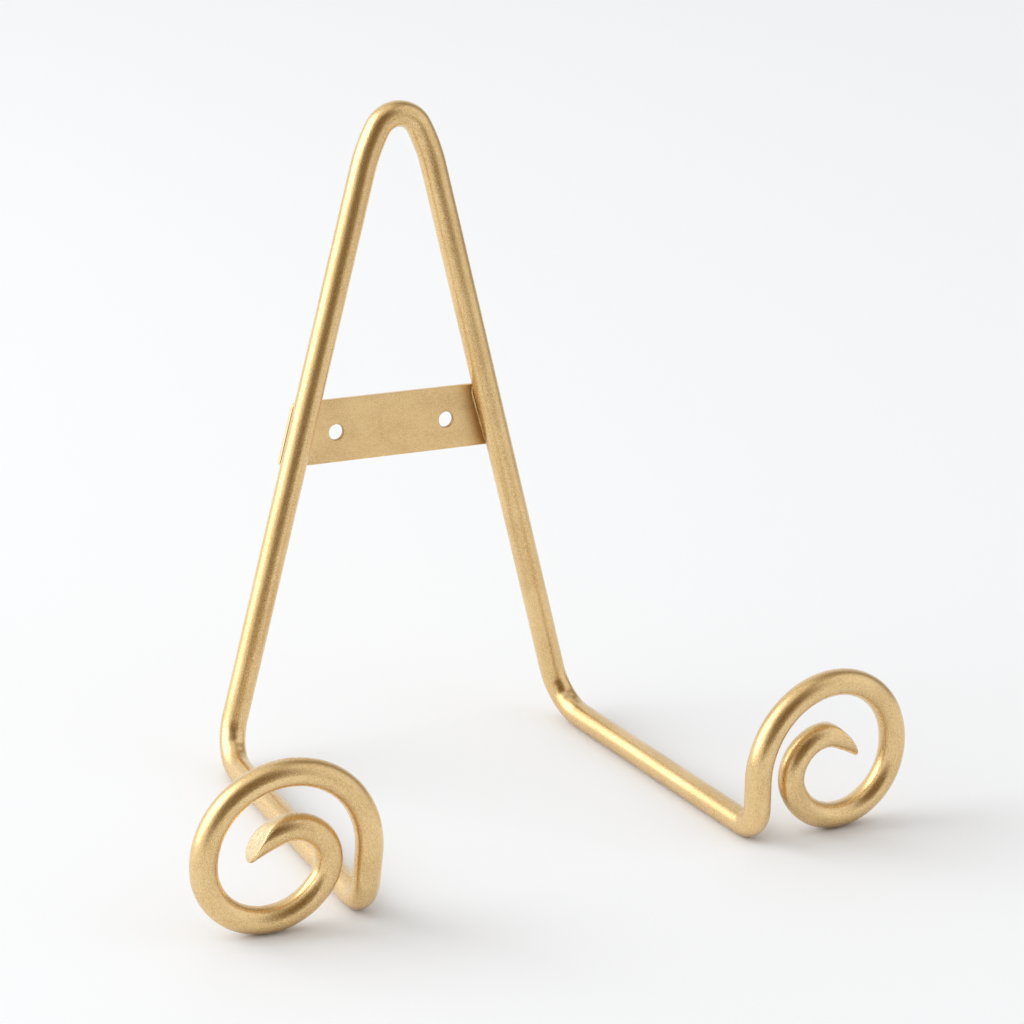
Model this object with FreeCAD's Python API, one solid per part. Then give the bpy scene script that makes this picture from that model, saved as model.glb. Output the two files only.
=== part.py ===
import FreeCAD, Part
import math
import os

from FreeCAD import Placement, Rotation, Vector

# Photo album stand: an easel bent from round steel rod, with a flat drilled strap brazed
# across the back of its two legs.
#
# Frame: +Z up, +X to the right of someone who stands in front of it, +Y towards the back.
# The origin is on the floor, at the middle of the stand's width and depth. Millimetres.
# The rod is mirror-symmetric, so only its right half is walked along; the left is its mirror.

# ---- driving dimensions: rod and plan -------------------------------------------------
ROD_DIAMETER = 8.0
HEEL_SPACING = 118.0          # between rod axes, where the legs meet the floor rails
TOE_SPACING = 131.0           # between rod axes, where the rails meet the scrolls
DEPTH = 110.0                 # heel corner to toe corner, front to back
HEEL_BEND_RADIUS = 14.0       # all bend radii are to the rod's centreline
TOE_BEND_RADIUS = 7.5

# ---- driving dimensions: back frame ---------------------------------------------------
LEAN = 5.0                    # degrees that the legs lean back from upright
LEG_SLANT = 14.7              # degrees from each leg to the middle line
APEX_RADIUS = 8.0
SHOULDER_RADIUS = 55.0        # the easy curve between the apex and each straight leg
SHOULDER_TURN = 14.5          # degrees

# ---- driving dimensions: scrolls ------------------------------------------------------
STEM_TILT = -3.5              # degrees from upright, minus is towards the other scroll
# Each arc of the scroll, stem first: centreline radius and the heading that it ends on.
# Heading is in degrees from straight up, turning outwards, so 90 points straight out.
SCROLL_ARCS = (
    (28.5, 30.0),
    (24.5, 185.0),
    (19.0, 335.0),
    (11.5, 470.0),
    (60.0, 485.0),
)
LOWEST_HEADING = 270.0        # the scroll touches the floor where it runs back inwards
TIP_REACH = 35.4              # from the toe corner out to the tip's sharp point
TIP_HEIGHT = 21.9             # of the sharp point above the floor
TIP_SLOPE = 69.0              # degrees that the end face drops at the sharp point
TIP_FACE_RADIUS = 30.0        # the end face is ground to this curve
TIP_BLUNTING = 0.5            # taken off the sharp point, along the rod

# ---- driving dimensions: strap and its brazing ----------------------------------------
STRAP_WIDTH = 20.0
STRAP_THICKNESS = 1.5
STRAP_HEIGHT = 98.0           # its middle line above the rails' axis, along the lean
STRAP_OVERHANG = 2.8          # of its ends past the legs' axes
STRAP_CORNER_RADIUS = 2.0
HOLE_DIAMETER = 5.0
HOLE_SPACING = 38.0
HOLE_DROP = 0.5               # of the holes below the strap's middle line
BRAZE_START = 0.9             # beads begin this far from the line where rod and strap touch
INNER_BRAZE_REACH = 3.0       # width of the bead on the strap, facing the middle
OUTER_BRAZE_REACH = 2.5       # and of the bead facing out
BRAZE_CLIMB = 0.3             # how much less, or more, the bead reaches along the rod

# ---- worked out from the driving dimensions -------------------------------------------
ROD_RADIUS = ROD_DIAMETER / 2
HALF_HEELS = HEEL_SPACING / 2
HALF_TOES = TOE_SPACING / 2
SPLAY = math.atan2(HALF_TOES - HALF_HEELS, DEPTH)
SLANT = math.radians(LEG_SLANT)

UP = Vector(0, 0, 1)
HEEL = Vector(HALF_HEELS, DEPTH, ROD_RADIUS)
TOE = Vector(HALF_TOES, 0, ROD_RADIUS)
# Each scroll stands upright and square across the end of its rail.
OUTWARD = Vector(math.cos(SPLAY), math.sin(SPLAY), 0)

# The back frame is drawn in its own leaning plane: x across, y up along the lean, and z
# towards the front, from the middle of the line between the two heel corners.
BACK_FRAME = Placement(Vector(0, DEPTH, ROD_RADIUS), Rotation(Vector(1, 0, 0), 90 - LEAN))


def back_direction(x, y, z=0.0):
    """Turn a direction in the leaning plane into one in the stand's frame."""
    return BACK_FRAME.Rotation.multVec(Vector(x, y, z))


def scroll_direction(heading):
    """Direction in the right scroll's plane, for a heading in degrees from straight up."""
    angle = math.radians(heading)
    return UP * math.cos(angle) + OUTWARD * math.sin(angle)


def setback(radius, turn):
    """Length that a bend takes from each run beside its corner."""
    return radius * math.tan(math.radians(turn) / 2)


def degrees_between(first, second):
    """Angle between two directions, in degrees."""
    return math.degrees(first.getAngle(second))


class RodWalk:
    """Walks along the rod's centreline and makes the solid of each length it passes."""

    def __init__(self, start, heading):
        self.point = start
        self.heading = heading

    def straight(self, length):
        """Round bar straight ahead."""
        bar = Part.makeCylinder(ROD_RADIUS, length, self.point, self.heading)
        self.point = self.point + self.heading * length
        return bar

    def bend(self, axis, radius, turn):
        """Bar bent right-handed about the axis direction, through a turn in degrees."""
        centre = self.point + axis.cross(self.heading) * radius
        rim = Part.makeCircle(ROD_RADIUS, self.point, self.heading)
        bar = Part.Face(Part.Wire(rim)).revolve(centre, axis, turn)
        rotation = Rotation(axis, turn)
        self.point = centre + rotation.multVec(self.point - centre)
        self.heading = rotation.multVec(self.heading)
        return bar


def joined(lengths):
    """One solid from lengths of rod that meet end to end."""
    whole = lengths[0].multiFuse(lengths[1:])
    assert len(whole.Solids) == 1 and whole.isValid()
    return whole.Solids[0]


def mirrored(shape):
    """The same shape on the other side of the stand."""
    return shape.mirror(Vector(0, 0, 0), Vector(1, 0, 0))


def apex_walk():
    """A walk that starts at the top of the apex, heading right, and the leg's run below."""
    curve_end = 90 - LEG_SLANT
    curve_start = curve_end - SHOULDER_TURN
    sine_start = math.sin(math.radians(curve_start))
    sine_end = math.sin(math.radians(curve_end))
    cosine_start = math.cos(math.radians(curve_start))
    cosine_end = math.cos(math.radians(curve_end))
    across = APEX_RADIUS * sine_start + SHOULDER_RADIUS * (sine_end - sine_start)
    drop = APEX_RADIUS * (1 - cosine_start) + SHOULDER_RADIUS * (cosine_start - cosine_end)
    leg_run = (HALF_HEELS - across) / math.sin(SLANT)
    top = leg_run * math.cos(SLANT) + drop
    walk = RodWalk(BACK_FRAME.multVec(Vector(0, top, 0)), Vector(1, 0, 0))
    return walk, curve_start, leg_run


def rise_to_lowest():
    """How far the scroll's arcs climb, from the stem's end to the point on the floor."""
    rise = 0.0
    heading = STEM_TILT
    for radius, end in SCROLL_ARCS:
        stop = min(end, LOWEST_HEADING)
        if stop > heading:
            rise += radius * (math.sin(math.radians(stop)) - math.sin(math.radians(heading)))
            heading = stop
    return rise


def tip_point():
    """The right scroll's sharp point, before it is blunted."""
    return Vector(TOE.x, TOE.y, 0) + OUTWARD * TIP_REACH + UP * TIP_HEIGHT


def tip_form():
    """Wide round form: the scroll's end is ground back to its skin."""
    across = UP.cross(OUTWARD)
    width = 2 * ROD_DIAMETER
    centre = tip_point() - scroll_direction(TIP_SLOPE) * TIP_FACE_RADIUS
    return Part.makeCylinder(TIP_FACE_RADIUS, width, centre - across * (width / 2), across)


def nose_block():
    """Block that takes off the scroll's sharp point, square across the rod."""
    size = 4 * ROD_DIAMETER
    nose = scroll_direction(SCROLL_ARCS[-1][1])
    block = Part.makeBox(size, size, size, Vector(-size / 2, -size / 2, 0))
    block.Placement = Placement(tip_point() - nose * TIP_BLUNTING, Rotation(UP, nose))
    return block


def scroll_lengths(walk, toe_setback):
    """The stem and the arcs of the right scroll, the last two arcs ground to the tip.

    toe_setback is the length that the toe bend has already taken from the stem.
    """
    stem_length = -rise_to_lowest() / math.cos(math.radians(STEM_TILT))
    lengths = [walk.straight(stem_length - toe_setback)]
    axis = UP.cross(OUTWARD)
    heading = STEM_TILT
    for radius, end in SCROLL_ARCS:
        lengths.append(walk.bend(axis, radius, end - heading))
        heading = end
    form = tip_form()
    block = nose_block()
    return lengths[:-2] + [length.common(form).cut(block) for length in lengths[-2:]]


def right_rod_nodes():
    """The right half of the rod, from the apex to the scroll's tip, length by length."""
    walk, apex_turn, leg_run = apex_walk()
    towards_back = back_direction(0, 0, -1)
    nodes = {}
    apex = [
        walk.bend(towards_back, APEX_RADIUS, apex_turn),
        walk.bend(towards_back, SHOULDER_RADIUS, SHOULDER_TURN),
    ]
    nodes["apex_half"] = joined(apex)

    down = walk.heading
    forward = (TOE - HEEL).normalize()
    stem = scroll_direction(STEM_TILT)
    heel_turn = degrees_between(down, forward)
    toe_turn = degrees_between(forward, stem)
    heel_setback = setback(HEEL_BEND_RADIUS, heel_turn)
    toe_setback = setback(TOE_BEND_RADIUS, toe_turn)

    nodes["leg"] = walk.straight(leg_run - heel_setback)
    nodes["heel_bend"] = walk.bend(down.cross(forward).normalize(), HEEL_BEND_RADIUS, heel_turn)
    nodes["rail"] = walk.straight((TOE - HEEL).Length - heel_setback - toe_setback)
    nodes["toe_bend"] = walk.bend(forward.cross(stem).normalize(), TOE_BEND_RADIUS, toe_turn)
    nodes["scroll"] = joined(scroll_lengths(walk, toe_setback))
    return nodes


def half_width(height, past_axis):
    """Half the width of the leaning plane at a height, to a line beside the leg's axis."""
    return HALF_HEELS - height * math.tan(SLANT) + past_axis / math.cos(SLANT)


def make_strap():
    """Flat bar behind both legs, its ends cut parallel to them, with two round holes."""
    low = STRAP_HEIGHT - STRAP_WIDTH / 2
    high = STRAP_HEIGHT + STRAP_WIDTH / 2
    back = -ROD_RADIUS - STRAP_THICKNESS
    low_half = half_width(low, STRAP_OVERHANG)
    high_half = half_width(high, STRAP_OVERHANG)
    corners = [
        Vector(-low_half, low, back),
        Vector(low_half, low, back),
        Vector(high_half, high, back),
        Vector(-high_half, high, back),
        Vector(-low_half, low, back),
    ]
    face = Part.Face(Part.makePolygon(corners))
    strap = face.extrude(Vector(0, 0, STRAP_THICKNESS))
    corner_edges = [
        edge for edge in strap.Edges
        if abs(edge.Vertexes[0].Z - edge.Vertexes[-1].Z) > STRAP_THICKNESS / 2
    ]
    strap = strap.makeFillet(STRAP_CORNER_RADIUS, corner_edges)
    for side in (-1, 1):
        centre = Vector(side * HOLE_SPACING / 2, STRAP_HEIGHT - HOLE_DROP, back)
        hole = Part.makeCylinder(HOLE_DIAMETER / 2, STRAP_THICKNESS, centre)
        strap = strap.cut(hole)
    strap.Placement = BACK_FRAME
    return strap


def make_braze(inward, reach, rod_reach):
    """Bead in the corner between the right leg and the strap, on one side of the leg.

    inward is 1 for the bead that faces the middle of the stand and -1 for the outer one.
    reach is the bead's width on the strap and rod_reach its width on the rod.
    """
    def on_rod(distance):
        depth = math.sqrt(ROD_RADIUS ** 2 - distance ** 2)
        return Vector(-inward * distance, 0, -depth)

    root = Vector(-inward * BRAZE_START, 0, -ROD_RADIUS)
    toe = Vector(-inward * reach, 0, -ROD_RADIUS)
    middle = on_rod((BRAZE_START + rod_reach) / 2)
    outline = Part.Wire([
        Part.makeLine(on_rod(BRAZE_START), root),
        Part.makeLine(root, toe),
        Part.makeLine(toe, on_rod(rod_reach)),
        Part.Arc(on_rod(rod_reach), middle, on_rod(BRAZE_START)).toShape(),
    ])
    # The section is drawn square across the leg, where its axis crosses the strap's
    # middle line, and runs well past both edges of the strap before it is trimmed.
    run = 2 * STRAP_WIDTH
    bead = Part.Face(outline).extrude(Vector(0, run, 0))
    bead.translate(Vector(0, -run / 2, 0))
    bead.rotate(Vector(0, 0, 0), Vector(0, 0, 1), LEG_SLANT)
    bead.translate(Vector(half_width(STRAP_HEIGHT, 0), STRAP_HEIGHT, 0))
    low_corner = Vector(0, STRAP_HEIGHT - STRAP_WIDTH / 2, -ROD_DIAMETER)
    band = Part.makeBox(HEEL_SPACING, STRAP_WIDTH, ROD_DIAMETER, low_corner)
    bead = bead.common(band)
    bead.Placement = BACK_FRAME
    return bead.Solids[0]


def make_nodes():
    """Every solid of the stand by its name."""
    right = right_rod_nodes()
    apex_half = right.pop("apex_half")
    right["inner_braze"] = make_braze(1, INNER_BRAZE_REACH, INNER_BRAZE_REACH - BRAZE_CLIMB)
    right["outer_braze"] = make_braze(-1, OUTER_BRAZE_REACH, OUTER_BRAZE_REACH + BRAZE_CLIMB)
    nodes = {
        "apex_bend": joined([apex_half, mirrored(apex_half)]),
        "back_strap": make_strap(),
    }
    for name, shape in right.items():
        nodes["right_" + name] = shape
        nodes["left_" + name] = mirrored(shape)
    return nodes


def main():
    """Build the stand, centre it over the origin and write one STEP file per node."""
    nodes = make_nodes()
    whole = Part.makeCompound(list(nodes.values())).optimalBoundingBox()
    to_centre = Vector(0, -whole.Center.y, 0)
    os.makedirs("parts", exist_ok=True)
    for name, shape in nodes.items():
        shape.translate(to_centre)
        assert shape.isValid() and shape.Volume > 0, name
        shape.exportStep(os.path.join("parts", name + ".step"))
        print(f"{name}: {shape.Volume:.1f} mm3")
    print(f"overall {whole.XLength:.2f} x {whole.YLength:.2f} x {whole.ZLength:.2f} mm,",
          f"lowest {whole.ZMin:.3f}, moved {to_centre.y:.3f} in Y")


main()
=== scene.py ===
"""Looks of the photo album stand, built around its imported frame.

The stand is an easel bent from one round steel rod, with a flat drilled strap brazed across
the back of its legs. All of it is under satin antique-gold paint. Lengths are in metres.
"""

import logging
import math
from bisect import bisect_right
from dataclasses import dataclass, field
from enum import Enum
from functools import reduce
from typing import Iterable

import bmesh
import bpy
from mathutils import Matrix, Quaternion, Vector, noise


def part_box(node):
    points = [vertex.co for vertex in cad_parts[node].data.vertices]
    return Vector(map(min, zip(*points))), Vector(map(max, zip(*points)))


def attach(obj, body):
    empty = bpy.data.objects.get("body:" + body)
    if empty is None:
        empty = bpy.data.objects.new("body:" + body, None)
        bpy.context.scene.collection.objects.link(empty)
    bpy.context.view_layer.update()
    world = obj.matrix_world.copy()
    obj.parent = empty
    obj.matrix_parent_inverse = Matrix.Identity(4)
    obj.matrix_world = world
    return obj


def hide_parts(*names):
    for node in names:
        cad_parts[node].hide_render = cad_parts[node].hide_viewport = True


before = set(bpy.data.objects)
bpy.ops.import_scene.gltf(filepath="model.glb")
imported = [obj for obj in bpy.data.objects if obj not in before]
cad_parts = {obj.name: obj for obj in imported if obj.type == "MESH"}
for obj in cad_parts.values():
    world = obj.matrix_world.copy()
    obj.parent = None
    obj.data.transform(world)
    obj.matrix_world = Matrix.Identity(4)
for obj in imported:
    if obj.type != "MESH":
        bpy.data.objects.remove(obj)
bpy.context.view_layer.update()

LOG = logging.getLogger("album_stand")
MM = 0.001
UP = Vector((0.0, 0.0, 1.0))
NOWHERE = Vector((0.0, 0.0, 0.0))
ALONG_GRAIN = "grain_space"
# Per-vertex value for the paint: rubbed wear above zero, painted shade below zero, and a painted highlight
# along the braze crests.
WEAR_AND_PAINTED_LIGHT = "worn"
BODY = "root"

Colour = tuple[float, float, float]
Span = tuple[float, float]


class Side(Enum):
    """Which half of the stand a piece belongs to, as the sign of its X."""

    LEFT = -1
    RIGHT = 1

    @property
    def word(self) -> str:
        """The side's name as it stands in piece and node names."""
        return self.name.lower()

    def place(self, point: Vector) -> Vector:
        """A point of the right half, or its mirror on the left."""
        return Vector((point.x * self.value, point.y, point.z))


class Stretch(Enum):
    """The stretches of the rod, in order from the apex to the tip."""

    APEX = "apex"
    SHOULDER = "shoulder"
    LEG = "leg"
    HEEL = "heel"
    RAIL = "rail"
    TOE = "toe"
    STEM = "stem"
    SCROLL = "scroll"


# ---- stand sizes shared by its pieces ----


@dataclass(frozen=True)
class StandPlan:
    """Driving dimensions of the stand, in metres and degrees.

    The plan is drawn from the toes' corners, which are set in Y so that its rails lie where
    the frame has them.
    """

    rod_radius: float = 4.0 * MM
    half_heels: float = 59.0 * MM
    half_toes: float = 65.5 * MM
    depth: float = 110.0 * MM
    heel_radius: float = 14.0 * MM
    toe_radius: float = 7.5 * MM
    toe_turn: float = 90.0
    lean: float = 5.0
    slant: float = 14.7
    apex_radius: float = 8.0 * MM
    shoulder_radius: float = 55.0 * MM
    shoulder_turn: float = 14.5
    stem_tilt: float = -3.5
    scroll_arcs: tuple[tuple[float, float], ...] = (
        (28.5 * MM, 30.0),
        (24.5 * MM, 185.0),
        (19.0 * MM, 335.0),
        (11.5 * MM, 470.0),
        (60.0 * MM, 485.0),
    )
    lowest_heading: float = 270.0

    @property
    def splay(self) -> float:
        """Angle in radians by which a rail spreads towards its toe."""
        return math.atan2(self.half_toes - self.half_heels, self.depth)

    @property
    def toe_y(self) -> float:
        """Find the toes' corners from where the frame's right rail lies.

        Returns:
            Their Y.
        """
        low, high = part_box("right_rail")
        straight_middle = (low.y + high.y) / 2
        heel_cut = setback(self.heel_radius, math.degrees(self.heel_angle))
        toe_cut = setback(self.toe_radius, self.toe_turn)
        return straight_middle - (self.depth + (toe_cut - heel_cut) * math.cos(self.splay)) / 2

    @property
    def heel_angle(self) -> float:
        """Turn of the heel bend in radians."""
        return self.leg_down.angle(self.rail_forward)

    @property
    def outward(self) -> Vector:
        """Direction across the right scroll: square to its rail and level."""
        return Vector((math.cos(self.splay), math.sin(self.splay), 0.0))

    @property
    def rail_forward(self) -> Vector:
        """Direction of the right rail, from heel to toe."""
        return Vector((self.half_toes - self.half_heels, -self.depth, 0.0)).normalized()

    @property
    def leg_down(self) -> Vector:
        """Direction of the right leg, downwards."""
        slant = math.radians(self.slant)
        return self.back_turn @ Vector((math.sin(slant), -math.cos(slant), 0.0))

    @property
    def back_turn(self) -> Matrix:
        """Rotation from the back's own plane, x across and y up the lean, to the stand."""
        return Matrix.Rotation(math.radians(90.0 - self.lean), 3, "X")

    @property
    def back_place(self) -> Matrix:
        """Placement of the back's own plane, from the middle between the heel corners."""
        origin = Vector((0.0, self.toe_y + self.depth, self.rod_radius))
        return Matrix.Translation(origin) @ self.back_turn.to_4x4()

    def scroll_way(self, heading: float) -> Vector:
        """Direction in the right scroll's plane, in degrees outwards from straight up."""
        angle = math.radians(heading)
        return UP * math.cos(angle) + self.outward * math.sin(angle)


def setback(radius: float, turn: float) -> float:
    """Length that a bend, its turn in degrees, takes from each run beside its corner."""
    return radius * math.tan(math.radians(turn) / 2)


# ---- meshes ----


def add_to_scene(name: str, data: bpy.types.ID) -> bpy.types.Object:
    """Make an object from its data and link it to the scene.

    Args:
        name: The object's name.
        data: Its mesh, curve, camera or lamp.

    Returns:
        The new object.
    """
    thing = bpy.data.objects.new(name, data)
    bpy.context.scene.collection.objects.link(thing)
    return thing


def smooth_outwards(mesh: bpy.types.Mesh, weld: float = 0.0) -> None:
    """Turn a mesh's faces outwards and shade them smooth.

    Args:
        mesh: The mesh, changed in place.
        weld: Vertices nearer than this are joined first, where it isn't zero.
    """
    work = bmesh.new()
    work.from_mesh(mesh)
    if weld > 0.0:
        bmesh.ops.remove_doubles(work, verts=work.verts, dist=weld)
    bmesh.ops.recalc_face_normals(work, faces=work.faces)
    for face in work.faces:
        face.smooth = True
    work.to_mesh(mesh)
    work.free()


def note_grain(mesh: bpy.types.Mesh, grain: Iterable[Vector], worn: list[float]) -> None:
    """Keep what the paint needs to know at each vertex of a mesh.

    Args:
        mesh: The mesh.
        grain: Each vertex's place in the grain's space, whose X runs along the grain.
        worn: How rubbed the paint is, up to 1, which also makes the painted highlight along the braze
            crests; below 0 it is painted shade instead.
    """
    places = mesh.attributes.new(ALONG_GRAIN, "FLOAT_VECTOR", "POINT")
    places.data.foreach_set("vector", [number for spot in grain for number in spot])
    wear = mesh.attributes.new(WEAR_AND_PAINTED_LIGHT, "FLOAT", "POINT")
    wear.data.foreach_set("value", worn)


def bent_line(pulls: list[Vector], steps: int) -> list[Vector]:
    """Points along a smooth curve, without its first one.

    Args:
        pulls: The curve's first point, the points that pull it, and its last point.
        steps: How many points to make.

    Returns:
        The points in order.
    """
    power = len(pulls) - 1
    points = []
    for step in range(1, steps + 1):
        t = step / steps
        weights = [math.comb(power, k) * t ** k * (1.0 - t) ** (power - k)
                   for k in range(power + 1)]
        points.append(sum((pull * weight for pull, weight in zip(pulls, weights)), NOWHERE))
    return points


@dataclass
class Skin:
    """Vertices, faces, grain places, and wear and painted light, of a closed surface being made."""

    points: list[Vector] = field(default_factory=list)
    grain: list[Vector] = field(default_factory=list)
    worn: list[float] = field(default_factory=list)
    faces: list[tuple[int, ...]] = field(default_factory=list)

    def ring(self, points: Iterable[Vector], grain: Iterable[Vector],
             worn: Iterable[float]) -> list[int]:
        """Add a ring of vertices.

        Args:
            points: Places of the vertices in the stand's frame.
            grain: Their places in the grain's space.
            worn: Their wear and painted light.

        Returns:
            The indices of the new vertices.
        """
        start = len(self.points)
        self.points.extend(points)
        self.grain.extend(grain)
        self.worn.extend(worn)
        return list(range(start, len(self.points)))

    def bridge(self, first: list[int], second: list[int]) -> None:
        """Join two rings of the same length with quads."""
        self.faces.extend(zip(first, first[1:] + first[:1], second[1:] + second[:1], second))

    def grow(self, before: list[int], points: list[Vector], grain: list[Vector],
             wear: float) -> list[int]:
        """Add a ring of one wear and join it to the ring before it.

        Args:
            before: The ring before it.
            points: Places of the vertices in the stand's frame.
            grain: Their places in the grain's space.
            wear: Their wear and painted light.

        Returns:
            The new ring.
        """
        ring = self.ring(points, grain, [wear] * len(points))
        self.bridge(before, ring)
        return ring

    def cap(self, ring: list[int], middle: Vector, grain: Vector) -> None:
        """Close a ring with a fan of triangles around one middle vertex."""
        centre = self.ring([middle], [grain], [0.0])[0]
        self.faces.extend((one, other, centre) for one, other in zip(ring, ring[1:] + ring[:1]))

    def close(self, ring: list[int]) -> None:
        """Close a flat ring with one face."""
        self.faces.append(tuple(ring))

    def piece(self, name: str) -> bpy.types.Object:
        """Make the finished object.

        Args:
            name: The object's name.

        Returns:
            The new object, linked to the scene, smooth-shaded, with its normals outwards.
        """
        mesh = bpy.data.meshes.new(name)
        mesh.from_pydata([tuple(p) for p in self.points], [], self.faces)
        mesh.validate()
        note_grain(mesh, self.grain, self.worn)
        smooth_outwards(mesh)
        return add_to_scene(name, mesh)


# ---- the rod ----


@dataclass(frozen=True)
class TipFace:
    """The curved face that a scroll's end is ground to, met by its sharp point.

    The two tips are ground by hand, so each has its own face. Slopes and the turn from the
    slope to the face's chord are in degrees.
    """

    side: Side
    reach: float
    height: float
    slope: float
    nose_rounding: float
    radius: float = 30.0 * MM
    chord_turn: float = 12.0

    def depth_inside(self, plan: StandPlan, point: Vector) -> float:
        """How far a point lies inside the face's curve, minus when it lies outside.

        Args:
            plan: The stand's driving dimensions.
            point: A point of the right half.

        Returns:
            The distance to the face.
        """
        corner = Vector((plan.half_toes, plan.toe_y, 0.0))
        centre = corner + plan.outward * self.reach + UP * self.height
        centre -= plan.scroll_way(self.slope) * self.radius
        offset = point - centre
        return self.radius - math.hypot(offset.dot(plan.outward), offset.z)


@dataclass(frozen=True)
class Station:
    """One place along the rod's middle line, and its share of the stretch it is on."""

    distance: float
    point: Vector
    heading: Vector
    across: Vector
    over: Vector
    inward: Vector
    stretch: Stretch
    share: float

    def rim(self, angle: float) -> Vector:
        """Unit direction from the middle line to the rod's surface."""
        return self.across * math.cos(angle) + self.over * math.sin(angle)


@dataclass
class RodWalk:
    """Walks along the right half of the rod and notes stations, at most a step apart."""

    point: Vector
    heading: Vector
    across: Vector
    over: Vector
    bend_step: float = 0.6 * MM
    straight_step: float = 1.6 * MM
    distance: float = 0.0
    stations: list[Station] = field(default_factory=list)

    def note(self, stretch: Stretch, share: float, inward: Vector) -> None:
        """Keep a station at the present place.

        Args:
            stretch: Which stretch of the rod this is.
            share: How much of the stretch is behind.
            inward: Direction to the bend's centre, or zero on a straight run.
        """
        self.stations.append(Station(
            self.distance, self.point.copy(), self.heading.copy(), self.across.copy(),
            self.over.copy(), inward, stretch, share))

    def straight(self, length: float, stretch: Stretch) -> None:
        """Walk straight ahead.

        Args:
            length: How far.
            stretch: Which stretch of the rod this is.
        """
        count = max(1, math.ceil(length / self.straight_step))
        for index in range(1, count + 1):
            self.point = self.point + self.heading * (length / count)
            self.distance += length / count
            self.note(stretch, index / count, NOWHERE)

    def bend(self, axis: Vector, radius: float, turn: float, stretch: Stretch) -> None:
        """Walk round a bend, right-handed about an axis.

        Args:
            axis: Direction of the bend's axis.
            radius: Radius to the rod's middle line.
            turn: Turn in degrees.
            stretch: Which stretch of the rod this is.
        """
        length = radius * math.radians(turn)
        count = max(4, math.ceil(length / self.bend_step))
        small = Quaternion(axis, math.radians(turn) / count)
        centre = self.point + axis.cross(self.heading) * radius
        for index in range(1, count + 1):
            self.point = centre + small @ (self.point - centre)
            self.heading = (small @ self.heading).normalized()
            self.across = (small @ self.across).normalized()
            self.over = self.heading.cross(self.across)
            self.distance += length / count
            self.note(stretch, index / count, (centre - self.point).normalized())


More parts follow.
